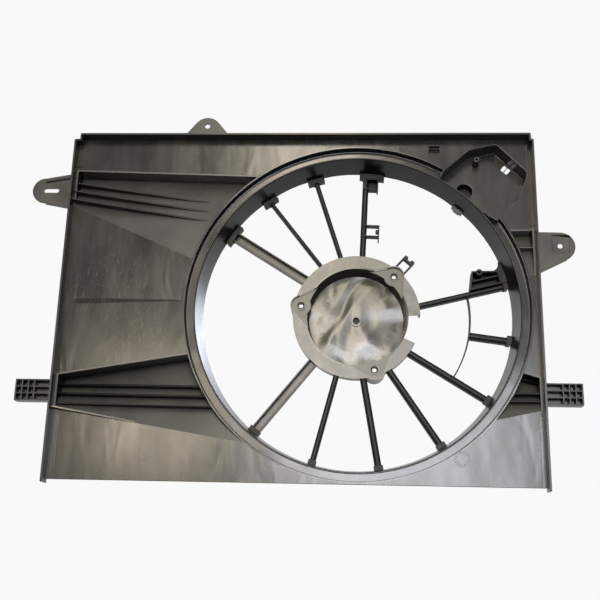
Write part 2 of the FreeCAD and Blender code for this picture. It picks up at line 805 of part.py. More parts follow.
def make_left_arm_rib():
    """Rib behind the arm's upper edge, from the side wall to its tip."""
    centre_x = left_x - left_arm_reach + left_arm_r
    y0 = arm_front + arm_t
    rib = prism([
        (left_x, left_arm_top), (centre_x, left_arm_z + left_arm_r),
        (centre_x, left_arm_z + left_arm_r - skin), (left_x, left_arm_top - skin),
    ], y0, y0 + arm_rib_height)
    lower = prism([
        (left_x, left_arm_bottom + skin), (centre_x, left_arm_z - left_arm_r + skin),
        (centre_x, left_arm_z - left_arm_r), (left_x, left_arm_bottom),
    ], y0, y0 + arm_rib_height)
    return Part.makeCompound([rib, lower])


def make_left_arm_lip():
    """Low lip on the arm's front, just under its upper edge."""
    centre_x = left_x - left_arm_reach + left_arm_r
    start_z = left_arm_top - arm_lip_inset
    end_z = left_arm_z + left_arm_r - arm_lip_inset
    return prism([
        (left_x, start_z), (centre_x, end_z), (centre_x, end_z - rib_t), (left_x, start_z - rib_t),
    ], arm_front - arm_lip_height, arm_front)


def right_arm_corner():
    """Where the right arm's slanted lower edge touches its rounded tip."""
    centre_x = right_x + right_arm_reach - right_arm_r
    dx, dz = polar(right_arm_r, right_arm_tip_angle)
    return (centre_x + dx, right_arm_tip_z + dz)


def make_right_arm_rib():
    """Rib behind the right arm's slanted lower edge."""
    corner = right_arm_corner()
    y0 = arm_front + arm_t
    return prism([
        (right_x, right_arm_bottom), corner, (corner[0], corner[1] + skin),
        (right_x, right_arm_bottom + skin),
    ], y0, y0 + arm_rib_height)


def make_right_arm():
    tip_x = right_x + right_arm_reach
    centre_x = tip_x - right_arm_r
    y1 = arm_front + arm_t
    blank = prism([
        (right_x, right_arm_bottom), right_arm_corner(),
        (centre_x, right_arm_tip_z + right_arm_r), (right_x, right_arm_top),
    ], arm_front, y1)
    blank = blank.fuse(disc(centre_x, right_arm_tip_z, right_arm_r, arm_front, y1))
    pad_x = right_x + pad_to_wall
    half = pad_size / 2.0
    pad = block(pad_x - half, pad_x + half, arm_front - over, arm_front + pad_depth,
                pad_z - half, pad_z + half)
    hole = disc(pad_x + right_hole_shift[0], pad_z + right_hole_shift[1], right_hole_r,
                arm_front - over, y1 + over)
    return blank.cut(pad).cut(hole).removeSplitter()


def make_top_ear():
    y0 = arm_front
    y1 = arm_front + arm_t
    centre_z = top_z + ear_height - ear_top_r
    half = ear_base / 2.0
    dx = half
    dz = centre_z - top_z
    distance = hypot(dx, dz)
    touch = atan2(-dz, dx) + atan2(sqrt(distance ** 2 - ear_top_r ** 2), ear_top_r)
    tx = ear_top_r * cos(touch)
    tz = centre_z + ear_top_r * sin(touch)
    blank = prism([
        (ear_x - half, top_z), (ear_x + half, top_z), (ear_x + tx, tz), (ear_x - tx, tz),
    ], y0, y1)
    cap = disc(ear_x, centre_z, ear_top_r, y0, y1)
    cap = cap.common(block(-reach, reach, -reach, reach, top_z, reach))
    hole = disc(ear_x, top_z + top_hole_z, top_hole_r, y0 - over, y1 + over)
    return blank.fuse(cap).cut(hole).removeSplitter()


def make_peg(x_wall, length, z, side):
    """Open-fronted peg: a web at the back with rows and columns of ribs on it."""
    z0 = z - peg_height / 2.0
    y1 = peg_front + peg_depth

    def span(a, b):
        return sorted((x_wall + side * a, x_wall + side * b))

    x0, x1 = span(0.0, length)
    peg = block(x0, x1, y1 - peg_web, y1, z0, z0 + peg_height)
    row_pitch = (peg_height - peg_rib_t) / (peg_row_count - 1)
    for i in range(peg_row_count):
        row_z = z0 + i * row_pitch
        peg = peg.fuse(block(x0, x1, peg_front, y1 - peg_web, row_z, row_z + peg_rib_t))
    for i in range(peg_column_count):
        far = length - i * peg_column_pitch
        a, b = span(far - peg_rib_t, far)
        peg = peg.fuse(block(a, b, peg_front, y1 - peg_web, z0, z0 + peg_height))
    return peg.removeSplitter()


# ---------------------------------------------------------------- pocket details
def window_tool(margin, y0, y1):
    half_x = window_size[0] / 2.0 + margin
    half_z = window_size[1] / 2.0 + margin
    x, z = window_at
    tool = block(x - half_x, x + half_x, y0, y1, z - half_z, z + half_z)
    return swung(tool, window_angle, window_at)


def make_pocket():
    shell = pocket_body.cut(pocket_hollow)
    shell = shell.cut(window_tool(0.0, 0.0, reach))
    hole = disc(grommet_at[0], grommet_at[1], grommet_r, 0.0, reach)
    return shell.cut(hole)


def make_grommet_tube():
    x, z = grommet_at
    y0 = pocket_depth + skin
    tube = disc(x, z, grommet_r + skin, y0, y0 + grommet_depth)
    tube = tube.cut(disc(x, z, grommet_r, y0 - over, y0 + grommet_depth - skin))
    return tube.cut(barrel_plug)


def make_module_boss():
    x, z = module_boss_at
    y0 = pocket_depth - module_boss_height
    boss = Part.makeCone(module_boss_r, module_boss_base_r, module_boss_height,
                         V(x, y0, z), V(0, 1, 0))
    pilot = disc(x, z, module_pilot_r, y0 - over, pocket_depth - module_pilot_end)
    return boss.cut(pilot).removeSplitter()


def make_window_bar():
    """Latch bar across the clip window in the pocket's floor."""
    x, z = window_at
    half_z = window_size[1] / 2.0
    bar = block(x - window_bar / 2.0, x + window_bar / 2.0, pocket_depth, pocket_depth + skin,
                z - half_z, z + half_z)
    return swung(bar, window_angle, window_at)


# ---------------------------------------------------------------- clips and brackets
top_spoke_number = len(upper_spoke_widths)
top_spoke_width = upper_spoke_widths[-1]
top_spoke_angle = upper_spoke_angle + (top_spoke_number - 1) * upper_spoke_turn_angle
top_spoke_right = spoke_offset - top_spoke_width / 2.0
top_spoke_left = spoke_offset + top_spoke_width / 2.0
top_foot = make_foot(top_spoke_angle, top_spoke_width, top_foot_width, top_foot_shift)


def beside_top_spoke(clip):
    """Turn a clip to the top spoke and free the space of the spoke and its foot."""
    spoke = block(0.0, rim_r, spoke_front, spoke_back, top_spoke_right, top_spoke_left)
    return swung(clip.cut(spoke), top_spoke_angle).cut(top_foot)


def make_box_clip():
    """Box beside the top spoke, against its foot; its lips cross the spoke's front."""
    r1 = foot_inner
    r0 = r1 - box_clip_length
    y0 = spoke_front - clip_lead
    y1 = spoke_front + box_clip_depth
    far = top_spoke_right - box_clip_reach
    outer = block(r0, r1, y0, y1, far, top_spoke_left)
    outer = outer.fuse(block(r0 - clip_spur, r0, spoke_front, y1, far, far + clip_wall))
    inner = block(r0 + clip_wall, r1 - clip_wall, y0 - over, y1 - clip_wall,
                  far + clip_wall, top_spoke_left - box_clip_lip)
    return beside_top_spoke(outer.cut(inner).removeSplitter())


def make_blade_clip():
    """Two blades across the top spoke and a bar that joins their ends."""
    far = top_spoke_right - blade_clip_reach
    y0 = spoke_front - clip_lead
    y1 = spoke_front + blade_clip_depth
    r0, r1 = blade_clip_r
    middle = 0.5 * (r0 + r1)
    clip = block(r0, r0 + blade_t, y0, y1, far, top_spoke_left)
    clip = clip.fuse(block(r1 - blade_t, r1, y0, y1, far, top_spoke_left))
    clip = clip.fuse(block(r0 - blade_spur, r1, y0, y1, far, far + blade_t))
    clip = clip.fuse(block(middle - blade_t, middle + blade_t, y0, y1, far, far + 3.0 * blade_t))
    return beside_top_spoke(clip.removeSplitter())


def make_hub_clip():
    """Square loop that stands out from the first ear's bulge."""
    r0 = bolt_r + ear_tip_r
    r1 = r0 + ear_wall + hub_clip_reach
    half = hub_clip_width / 2.0
    y0 = hub_front
    y1 = hub_front + hub_clip_depth
    outer = block(r0, r1, y0, y1, -half, half)
    inner = block(r0 - over, r1 - hub_clip_bar, y0 - over, y1 + over, -half + blade_t, half - blade_t)
    notch = block(r1 - hub_clip_bar / 2.0, r1 + over, y0 - over, y1 + over,
                  -hub_clip_notch / 2.0, hub_clip_notch / 2.0)
    return swung(outer.cut(inner).cut(notch), first_ear_angle).cut(skirt_plug)


def make_bracket():
    """Connector bracket on its spoke: a slanted trough, a screw boss and a rounded web."""
    side = spoke_offset + connector_spoke_width / 2.0
    y0 = spoke_front - bracket_lead
    y1 = y0 + bracket_depth
    r1 = bracket_r + bracket_length
    near = side + bracket_height
    far = near - bracket_slant
    corners = [(bracket_r, side), (rim_r, side), (r1, far), (bracket_r + bracket_lean, near)]
    outer = prism(corners, y0, y1)
    inner = offset_prism(corners, -skin, y0 - over, y1 - skin)
    inner = inner.common(disc(0, 0, foot_inner - skin, -reach, reach))
    shelf_z = side + bracket_shelf
    shelf = block(bracket_r, rim_r, y0 + bracket_lead, y1, shelf_z, shelf_z + skin).common(outer)
    boss_at = (bracket_r + bracket_lean + 2.0 * bracket_boss_r, near - bracket_boss_r)
    boss = disc(*boss_at, bracket_boss_r, y0 - bracket_boss_lead, y1)
    pilot = disc(*boss_at, module_pilot_r, y0 - bracket_boss_lead - over,
                 y0 - bracket_boss_lead + bracket_pilot_depth)
    round_side = far + bracket_web_r + bracket_web_gap
    round_r = sqrt((barrel_rear_r - bracket_web_gap - bracket_web_r) ** 2 - round_side ** 2)
    web = block(round_r, rim_r, barrel_depth - bracket_web_t, barrel_depth, side, round_side)
    web = web.cut(disc(round_r, round_side, bracket_web_r, 0.0, reach)).cut(prism(corners, 0.0, reach))
    bracket = outer.cut(inner).fuse(shelf).fuse(boss).cut(pilot).fuse(web).removeSplitter()
    bracket = swung(bracket, connector_spoke_angle).common(opening)
    return bracket.cut(spoke_foot(connector_spoke_angle, connector_spoke_width))


def spoke_foot(angle, width_mm):
    return make_foot(angle, width_mm, foot_margin)


def make_barrel_tab():
    """Small lug on the rear edge of the barrel, below the module pocket."""
    y0 = barrel_depth - tab_lead
    y1 = barrel_depth + tab_depth
    wide = block(barrel_rear_r - tab_shoulder, rim_r, y0, y1, -tab_width / 2.0, tab_width / 2.0)
    neck = block(barrel_rear_r - tab_radial, rim_r, y0, y1, -tab_neck / 2.0, tab_neck / 2.0)
    return swung(wide.fuse(neck).removeSplitter(), tab_angle).common(opening)


def make_marks():
    """Low round witness marks on the panel's face."""
    x, z = place(lower_left_corner, gate_mark_offset)
    gate = disc(x, z, gate_mark_r, -mark_height, 0.0)
    gate = gate.cut(disc(x, z, gate_dish_r, -mark_height - over, gate_dish_depth - mark_height))
    gate = gate.fuse(disc(x, z, gate_pip_r, -gate_pip_height, 0.0)).removeSplitter()
    x, z = place(lower_right_corner, insert_mark_offset)
    inner_r, outer_r = insert_groove_r
    insert = disc(x, z, insert_mark_r, -mark_height, 0.0)
    groove = disc(x, z, outer_r, -mark_height - over, insert_groove_depth - mark_height)
    groove = groove.cut(disc(x, z, inner_r, -reach, reach))
    marks = [gate, insert.cut(groove)]
    for x, z in (place(upper_left_corner, top_ejector_offset),
                 place(lower_right_corner, low_ejector_offset)):
        marks.append(disc(x, z, ejector_r, -ejector_height, 0.0))
    for z in strip_ejector_z:
        x = left_in + strip_ejector_inset
        marks.append(disc(x, z, ejector_r, -strip_height - ejector_height, -strip_height))
    return Part.makeCompound(marks)


# ---------------------------------------------------------------- ribs in the recesses
def floor_depth(edge, crease, depth, x, z):
    """Depth of a recess's floor at a point of the panel's plane."""
    upper = line_z(edge, x)
    lower = line_z(crease, x)
    return depth * (z - lower) / (upper - lower)


def make_gussets():
    """Ribs that run from the side wall across the recess and die out in its floor."""
    solid_below = recess_void(left_in, -ring_reach, upper_left_edge, upper_left_crease,
                              upper_left_depth)
    solid_below = solid_below.fuse(block(left_in, -ring_reach, -wall_depth, 0.0, 0.0, top_z))
    ribs = []
    for i in range(gusset_count):
        start = (left_in, gusset_start_z - i * gusset_pitch)
        end = (gusset_end[0], gusset_end[1] - i * gusset_pitch)
        line = (upper_left_edge, upper_left_crease, upper_left_depth)
        front = floor_depth(*line, *start) - gusset_height
        back = floor_depth(*line, *end)
        rib = strip_rib(start, end, front, back, reach).common(solid_below)
        rib = rib.cut(upper_left[2])
        ribs.append(max(rib.Solids, key=lambda solid: solid.Volume))
    return Part.makeCompound(ribs)


def make_tail_rib():
    """Rib on the panel along the lower-left recess's lower line, dying out rightwards."""
    x0 = left_in
    z0 = line_z(lower_left_crease, x0) + rib_t / 2.0
    x1 = x0 + tail_rib_length
    z1 = line_z(lower_left_crease, x1) + rib_t / 2.0
    rib = strip_rib((x0, z0), (x1, z1), -tail_rib_height, -rib_end_height, skin)
    rib = rib.cut(block(left_x, left_in, -reach, reach, -reach, reach))
    return rib.cut(lower_left[2]).cut(main_panel)


tail_rib = make_tail_rib()


def make_lower_left_ribs():
    ribs = []
    for i in range(lower_rib_count):
        z = lower_rib_top - i * lower_rib_pitch
        rib = floor_rib(lower_left[0], (left_in, z), (0.0, z - lower_rib_fall), lower_rib_height)
        ribs.extend(rib.cut(tail_rib).Solids)
    return Part.makeCompound(ribs)


def make_lower_right_ribs():
    ribs = []
    hollow = lower_right[0]
    for i in range(right_rib_count):
        z = right_rib_top - i * right_rib_pitch
        rib = floor_rib(hollow, (0.0, z), (right_in, z), right_rib_height)
        ribs.extend(rib.Solids)
    x1 = right_in - hook_rib_gap
    x0 = x1 - hook_rib_length
    start = (x0, line_z(lower_right_edge, x0) - hook_rib_drop)
    end = (x1, line_z(lower_right_edge, x1) - hook_rib_drop)
    ribs.extend(floor_rib(hollow, start, end, hook_rib_height).Solids)
    return Part.makeCompound(ribs)


def make_upper_right_rib():
    hollow = upper_right[0]
    rib = strip_rib((0.0, upper_right_rib_z), (right_in, upper_right_rib_z),
                    upper_right_rib_drop, upper_right_rib_drop, reach)
    return rib.common(hollow)


# ---------------------------------------------------------------- the named pieces
pieces = {
    "main_panel": main_panel,
    "top_wall": make_top_wall(),
    "left_wall": make_side_wall(left_x, left_in, left_x + top_wall_inset_left),
    "right_wall": make_side_wall(right_in, right_x - top_wall_inset_right, right_in),
    "left_border_strip": make_strips((
        (left_in, left_in + strip_width, bottom_z, line_z(lower_left_crease, left_in) - strip_clear),
        (left_in, left_in + wide_strip_width, line_z(lower_left_edge, left_in) + strip_clear,
         line_z(upper_left_crease, left_in) - strip_clear),
        (left_in, left_in + strip_width, line_z(upper_left_edge, left_in) + strip_clear,
         wall_top - skin))),
    "right_border_strip": make_strips((
        (right_in - narrow_strip_width, right_in, bottom_z,
         line_z(lower_right_crease, right_in) - strip_clear),
        (right_in - narrow_strip_width, right_in, line_z(upper_right_edge, right_in) + strip_clear,
         wall_top - skin))),
    "panel_fold": make_fold(),
    "bellmouth_ring": make_bellmouth(),
    "fan_barrel": make_barrel(),
    "barrel_rear_flange": make_rear_flange(),
    "barrel_tab": make_barrel_tab(),
    "hub_cup_wall": make_cup_wall(),
    "hub_cup_floor": make_cup_floor(),
    "shaft_socket": make_shaft_socket(),
    "hub_skirt": make_skirt(),
    "arc_rib": make_arc_rib(),
    "upper_left_recess": upper_left[2],
    "upper_left_gussets": make_gussets(),
    "lower_left_recess": lower_left[2],
    "lower_left_ribs": make_lower_left_ribs(),
    "lower_left_tail_rib": tail_rib,
    "lower_right_recess": lower_right[2],
    "lower_right_ribs": make_lower_right_ribs(),
    "upper_right_recess": upper_right[2],
    "upper_right_rib": make_upper_right_rib(),
    "upper_left_arm": make_left_arm(),
    "upper_left_arm_ribs": make_left_arm_rib(),
    "upper_left_arm_lip": make_left_arm_lip(),
    "upper_right_arm_rib": make_right_arm_rib(),
    "upper_right_arm": make_right_arm(),
    "top_ear": make_top_ear(),
    "lower_left_peg": make_peg(left_x, left_peg_reach, left_peg_z, -1),
    "lower_right_peg": make_peg(right_x, right_peg_reach, right_peg_z, 1),
    "module_pocket": make_pocket(),
    "module_boss": make_module_boss(),
    "grommet_tube": make_grommet_tube(),
    "pocket_latch_bar": make_window_bar(),
    "clip_pocket": make_clip_pocket(),
    "box_clip": make_box_clip(),
    "blade_clip": make_blade_clip(),
    "hub_harness_clip": make_hub_clip(),
    "connector_bracket": make_bracket(),
    "moulding_marks": make_marks(),
}
for number, angle in enumerate(ear_angles(), start=1):
    pieces["motor_ear_%d" % number] = make_ear(angle)
feet = []
for number, (angle, spoke_width, hollow) in enumerate(spokes, start=1):
    inner_r = arc_rib_r + arc_rib_t / 2.0 if angle == short_spoke_angle else None
    name = "spoke_%02d" % number
    pieces[name] = make_spoke(angle, spoke_width, hollow, inner_r)
    if number == top_spoke_number:
        feet.append(top_foot)
    else:
        extra = foot_width if number < top_spoke_number else foot_margin
        feet.append(make_foot(angle, spoke_width, extra))
pieces["spoke_feet"] = Part.makeCompound(feet)

os.makedirs("parts", exist_ok=True)
for name, shape in pieces.items():
    shape.exportStep(os.path.join("parts", name + ".step"))
    print(name, len(shape.Solids), round(shape.Volume), shape.isValid())
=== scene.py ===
# %% [markdown]
# # A moulded radiator fan shroud
# The real object is one large injection moulding in black glass-filled nylon.  It has a flat
# panel, a round opening for the fan, and spokes that carry the motor's cup.  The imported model
# already holds every wall and rib at its true size, so this lesson is about the finish:
# softened edges, the satin of a mould's skin, and the light that makes black plastic readable.
# The first cell loads that model as a fixed frame and notes its box.

# %% Load the fixed frame
import json
import math

import bpy
from mathutils import Matrix, Vector
from mathutils.bvhtree import BVHTree


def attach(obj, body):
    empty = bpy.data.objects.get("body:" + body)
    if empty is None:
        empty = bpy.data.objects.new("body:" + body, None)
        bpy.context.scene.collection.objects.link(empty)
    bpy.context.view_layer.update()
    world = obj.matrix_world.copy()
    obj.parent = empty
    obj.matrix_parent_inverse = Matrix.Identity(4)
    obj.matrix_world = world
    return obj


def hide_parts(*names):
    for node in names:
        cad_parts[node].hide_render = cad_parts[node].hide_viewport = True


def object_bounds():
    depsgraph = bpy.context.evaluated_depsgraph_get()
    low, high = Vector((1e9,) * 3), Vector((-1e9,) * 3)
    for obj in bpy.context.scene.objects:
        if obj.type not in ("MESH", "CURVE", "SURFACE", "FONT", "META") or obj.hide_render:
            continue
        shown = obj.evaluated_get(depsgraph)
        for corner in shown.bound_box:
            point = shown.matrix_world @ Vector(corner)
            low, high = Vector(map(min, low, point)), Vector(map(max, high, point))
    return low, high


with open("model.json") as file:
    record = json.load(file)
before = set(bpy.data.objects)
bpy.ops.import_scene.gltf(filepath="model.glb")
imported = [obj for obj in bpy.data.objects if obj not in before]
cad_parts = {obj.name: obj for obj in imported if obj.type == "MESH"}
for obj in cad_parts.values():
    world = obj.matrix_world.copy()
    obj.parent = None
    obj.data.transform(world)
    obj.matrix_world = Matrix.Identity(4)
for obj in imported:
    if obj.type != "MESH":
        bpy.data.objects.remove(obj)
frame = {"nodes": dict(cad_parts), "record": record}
cad_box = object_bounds()
nodes = frame["nodes"]
MM = 0.001  # Blender's unit is the metre, and most sizes here are named in millimetres
print(len(nodes), "CAD nodes,", [round(v, 3) for v in cad_box[1] - cad_box[0]], "m")

# %% [markdown]
# ## The camera
# The part is seen from the radiator's side, from a little below the fan's axis.  A Track To
# constraint could aim the camera, but it would also decide its roll.  Here the matrix is built
# from the direction it looks in, the direction that is up, and the right-hand side that
# follows from both.  A lens of about 57 mm keeps the ring round.

# %% Camera
CAMERA_AT = Vector((-6.936, -1231.572, -369.184)) * MM  # from the middle of the fan opening
LOOK = Vector((-0.054287, 0.954807, 0.292227)).normalized()
UP = Vector((-0.008628, -0.293096, 0.956044)).normalized()
RIGHT = LOOK.cross(UP).normalized()
SENSOR_MM = 36.0
LENS_MM = 56.89


def make_camera():
    """The studio camera, which also becomes the scene's camera."""
    data = bpy.data.cameras.new("studio_camera")
    data.sensor_width = SENSOR_MM
    data.lens = LENS_MM
    camera = bpy.data.objects.new("studio_camera", data)
    bpy.context.scene.collection.objects.link(camera)
    turn = Matrix((RIGHT, RIGHT.cross(LOOK), -LOOK)).transposed().to_4x4()
    camera.matrix_world = Matrix.Translation(CAMERA_AT) @ turn
    bpy.context.scene.camera = camera
    return camera


camera = make_camera()
print("camera", [round(v, 3) for v in camera.location], "lens", camera.data.lens)

# %% [markdown]
# ## Colours and node trees
# Colours are written as a painter would, in sRGB hex, and turned into the linear values that
# the renderer adds up.  A shader tree could be typed out link by link.  One helper that adds a
# node, sets its sockets and joins its inputs keeps each material down to the lines that matter.


# %% Colour and node helpers
def linear(hex_colour):
    """sRGB hex to a linear RGBA tuple."""
    channels = [int(hex_colour[i:i + 2], 16) / 255 for i in (1, 3, 5)]
    return tuple(c / 12.92 if c <= 0.04045 else ((c + 0.055) / 1.055) ** 2.4
                 for c in channels) + (1,)


def add_node(tree, kind, settings=None, **inputs):
    """Add a node.  Inputs are named, or numbered as _0, _1, and take a value or a socket."""
    node = tree.nodes.new(kind)
    for name, value in (settings or {}).items():
        setattr(node, name, value)
    for name, value in inputs.items():
        key = int(name[1:]) if name[1:].isdigit() else name.replace("_", " ")
        if isinstance(value, bpy.types.NodeSocket):
            tree.links.new(value, node.inputs[key])
        else:
            node.inputs[key].default_value = value
    return node


def new_material(name):
    """A new material, with its node tree and its Principled shader."""
    material = bpy.data.materials.new(name)
    material.use_nodes = True
    return material, material.node_tree, material.node_tree.nodes["Principled BSDF"]


print("linear of a mid grey:", [round(v, 3) for v in linear("#808080")])

# %% [markdown]
# ## Glass-filled nylon, as moulded
# The resin is black PA66 with 30 percent glass.  Black plastic shows its surroundings far more
# than its own colour, so roughness carries most of the look, and one flat value would look
# like paint.  Where the flow front stalled, the glass lies nearer to the skin and dulls it in
# clouds a hand wide.  One noise drives colour and roughness together, because both come from
# that glass.  The grain of the blasted mould and the slow sink of a thin wall are bumps: both
# are too shallow to model, and yet they bend every reflection.

# %% Moulded skin
NYLON_IOR = 1.53
CLOUD_START, CLOUD_FULL = 0.32, 0.68  # noise values where a cloud begins and is complete
GRAIN_MM = 4.0  # the real grain is about 1 mm, and is drawn coarser so that it shows
GRAIN_DEPTH_MM = 0.05
SINK_WAVE_MM = 70.0  # from one shallow of a thin wall to the next


def moulded_skin(name, dark, light, polished, dull, cloud_mm=90.0, streak=(1.0, 1.0, 1.0),
                 grain=0.05, sink_mm=0.0, sheen_level=0.32):
    """Black moulded plastic, from dark and polished to light and dull in clouds of cloud_mm.

    Streak squeezes the clouds along X, Y and Z.  Grain is the strength of the fine bump, and
    sink_mm the depth of the slow one.  A sheen_level under 0.5 is duller than clear plastic.
    """
    material, tree, shader = new_material(name)
    shader.inputs["IOR"].default_value = NYLON_IOR
    shader.inputs["Specular IOR Level"].default_value = sheen_level
    place = add_node(tree, "ShaderNodeTexCoord").outputs["Object"]
    drawn_out = add_node(tree, "ShaderNodeMapping", Vector=place, Scale=streak).outputs["Vector"]
    # each step of Detail halves the size, so this many steps lead from a cloud to the grain
    clouds = add_node(tree, "ShaderNodeTexNoise", Vector=drawn_out, Scale=1.0 / (cloud_mm * MM),
                      Detail=math.log2(cloud_mm / GRAIN_MM), Roughness=0.62).outputs["Fac"]
    amount = add_node(tree, "ShaderNodeMapRange", Value=clouds, _1=CLOUD_START,
                      _2=CLOUD_FULL).outputs["Result"]
    colour = add_node(tree, "ShaderNodeMix", {"data_type": "RGBA"}, _0=amount,
                      _6=linear(dark), _7=linear(light)).outputs[2]
    rough = add_node(tree, "ShaderNodeMapRange", Value=amount, _3=polished, _4=dull)
    tree.links.new(colour, shader.inputs["Base Color"])
    tree.links.new(rough.outputs["Result"], shader.inputs["Roughness"])
    fine = add_node(tree, "ShaderNodeTexNoise", Vector=place, Scale=1.0 / (GRAIN_MM * MM),
                    Detail=1.0)
    bump = add_node(tree, "ShaderNodeBump", Strength=grain, Distance=GRAIN_DEPTH_MM * MM,
                    Height=fine.outputs["Fac"])
    if sink_mm:
        slow = add_node(tree, "ShaderNodeTexNoise", Vector=drawn_out,
                        Scale=1.0 / (SINK_WAVE_MM * MM), Detail=1.0, Distortion=0.8)
        bump = add_node(tree, "ShaderNodeBump", Strength=1.0, Distance=sink_mm * MM,
                        Height=slow.outputs["Fac"], Normal=bump.outputs["Normal"])
    tree.links.new(bump.outputs["Normal"], shader.inputs["Normal"])
    return material


# nylon off polished steel: near black, with clear highlights that waver round the ring
ring_skin = moulded_skin("polished_black_PA66_ring", "#080809", "#111111", 0.14, 0.24,
                         grain=0.04, sink_mm=0.6)
barrel_skin = moulded_skin("polished_black_PA66_barrel", "#0a0a0b", "#121213", 0.20, 0.32,
                           grain=0.04, sink_mm=0.5, sheen_level=0.2)
# nylon off blasted steel: soft, broad highlights, and a greyer tone on the thin arms
wall_skin = moulded_skin("satin_black_PA66_walls", "#131416", "#1b1c1f", 0.26, 0.38)
arm_skin = moulded_skin("satin_black_PA66_arms", "#282723", "#35342f", 0.30, 0.42, 40.0)
print("materials:", [m.name for m in bpy.data.materials])

# %% [markdown]
# ## The recesses: matt floors, walls in painted shade
# The floor of each recess was blasted with the panel.  Its walls lie along the mould's pull, and
# their near-black colour is painted shade, for the shadow that falls into the recess.  Floors and
# walls could have two materials on two sets of faces.  One material that reads the surface's own
# normal needs no faces picked: a floor points to the radiator, which is -Y.

# %% Recesses
WALL_UP_TO, FLOOR_FROM = -0.5, -0.85  # the normal's Y where a wall ends and a floor starts


def make_recess_finish_with_painted_shade():
    """Blasted nylon: a grey satin floor between walls painted near black as shade."""
    material = moulded_skin("satin_black_PA66_recesses_painted_wall_shade", "#343431", "#42423e", 0.26, 0.38)
    tree = material.node_tree
    base = tree.nodes["Principled BSDF"].inputs["Base Color"]
    normal = add_node(tree, "ShaderNodeTexCoord").outputs["Normal"]
    towards_y = add_node(tree, "ShaderNodeSeparateXYZ", Vector=normal).outputs["Y"]
    is_floor = add_node(tree, "ShaderNodeMapRange", Value=towards_y, _1=WALL_UP_TO,
                        _2=FLOOR_FROM).outputs["Result"]
    # a wall takes #0a0a0b, which is painted shade; a floor keeps the skin's own colour
    colour = add_node(tree, "ShaderNodeMix", {"data_type": "RGBA"}, _0=is_floor,
                      _6=linear("#0a0a0b"), _7=base.links[0].from_socket).outputs[2]
    tree.links.new(colour, base)
    return material


recess_finish_with_painted_shade = make_recess_finish_with_painted_shade()
print("recess skin has", len(recess_finish_with_painted_shade.node_tree.nodes), "nodes")

# %% [markdown]
# ## The panel: flow streaks and scuffs
# The panel filled from a gate at its lower left, so faint streaks run up and down its skin.
# Handling left scuffs on the raised facet and a few short scratches near the top.  They could
# be painted on an image, but noise needs none and stays sharp at any distance.  It is stretched
# along the scratches and kept to round zones, where the skin turns paler.

# %% Scuffs
SCRATCH_TURN = math.radians(38)
SCRATCH_X_MM, SCRATCH_Z_MM = 3.0, 9.0  # a scratch is thin one way and three times as long
SCRATCH_START, SCRATCH_FULL = 0.56, 0.70  # only the highest peaks of the noise are scratches
SCUFF_ZONES_MM = [(-340.0, 30.0, 80.0), (-232.0, 222.0, 16.0), (-300.0, -40.0, 60.0)]
ZONE_CORE = 0.3  # share of a zone's radius in which the scuffing is full


def scuffs(tree, place, zones):
    """Share of scuffing: stretched noise inside soft round zones, given as (x, z, radius)."""
    across = add_node(tree, "ShaderNodeMapping", Vector=place, Rotation=(0.0, SCRATCH_TURN, 0.0),
                      Scale=(1.0 / (SCRATCH_X_MM * MM), 1.0, 1.0 / (SCRATCH_Z_MM * MM)))
    noise = add_node(tree, "ShaderNodeTexNoise", Vector=across.outputs["Vector"], Scale=1.0,
                     Detail=3.0, Distortion=0.8)
    lines = add_node(tree, "ShaderNodeMapRange", Value=noise.outputs["Fac"], _1=SCRATCH_START,
                     _2=SCRATCH_FULL).outputs["Result"]
    in_zones = 0.0
    for x, z, radius in zones:
        far = add_node(tree, "ShaderNodeVectorMath", {"operation": "DISTANCE"}, _0=place,
                       _1=(x * MM, 0.0, z * MM)).outputs["Value"]
        near = add_node(tree, "ShaderNodeMapRange", Value=far, _1=radius * MM,
                        _2=ZONE_CORE * radius * MM).outputs["Result"]
        in_zones = add_node(tree, "ShaderNodeMath", {"operation": "MAXIMUM"}, _0=in_zones,
                            _1=near).outputs["Value"]
    return add_node(tree, "ShaderNodeMath", {"operation": "MULTIPLY"}, _0=lines,
                    _1=in_zones).outputs["Value"]


print(len(SCUFF_ZONES_MM), "scuffed zones")


# %% Panel
def make_panel_skin():
    """Blasted nylon: a satin sheet with wavering highlights, worn pale where it was handled."""
    material = moulded_skin("satin_black_PA66_panel", "#131311", "#21201d", 0.16, 0.27,
                            cloud_mm=110.0, streak=(2.4, 1.0, 0.8), sink_mm=0.35)
    tree = material.node_tree
    base = tree.nodes["Principled BSDF"].inputs["Base Color"]
    place = add_node(tree, "ShaderNodeTexCoord").outputs["Object"]
    worn = scuffs(tree, place, SCUFF_ZONES_MM)
    colour = add_node(tree, "ShaderNodeMix", {"data_type": "RGBA"}, _0=worn,
                      _6=base.links[0].from_socket, _7=linear("#3b3a36")).outputs[2]
    tree.links.new(colour, base)
    return material


panel_skin = make_panel_skin()
print("panel skin has", len(panel_skin.node_tree.nodes), "nodes")

# %% [markdown]
# ## The hub: flow rings and mottling
# The cup is the last place to fill.  Its floor is polished, and the melt left wide curved waves
# in it that bend every reflection, with fine turning rings from the mould's insert.  The waves
# could be sculpted, but they hardly change the shape, so two bumps do it, one laid on the
# other.  The skirt and the ears are duller, and the skirt is mottled in patches about 20 mm wide.

# %% Hub
RING_STEP_MM = 9.0  # the real turning rings are 0.2 mm apart, too fine to show
RING_DEPTH_MM = 0.02
SWIRL_MM = 60.0
SWIRL_DEPTH_MM = 4.2  # drawn deeper than the real waves, so that their swirls show
SWIRL_SHIFT = Vector((-45.0, 0.0, 20.0)) * MM  # chooses the part of the noise in the cup
SWIRL_SQUEEZE = (1.0, 1.0, 0.6)  # the waves are taller than they are wide


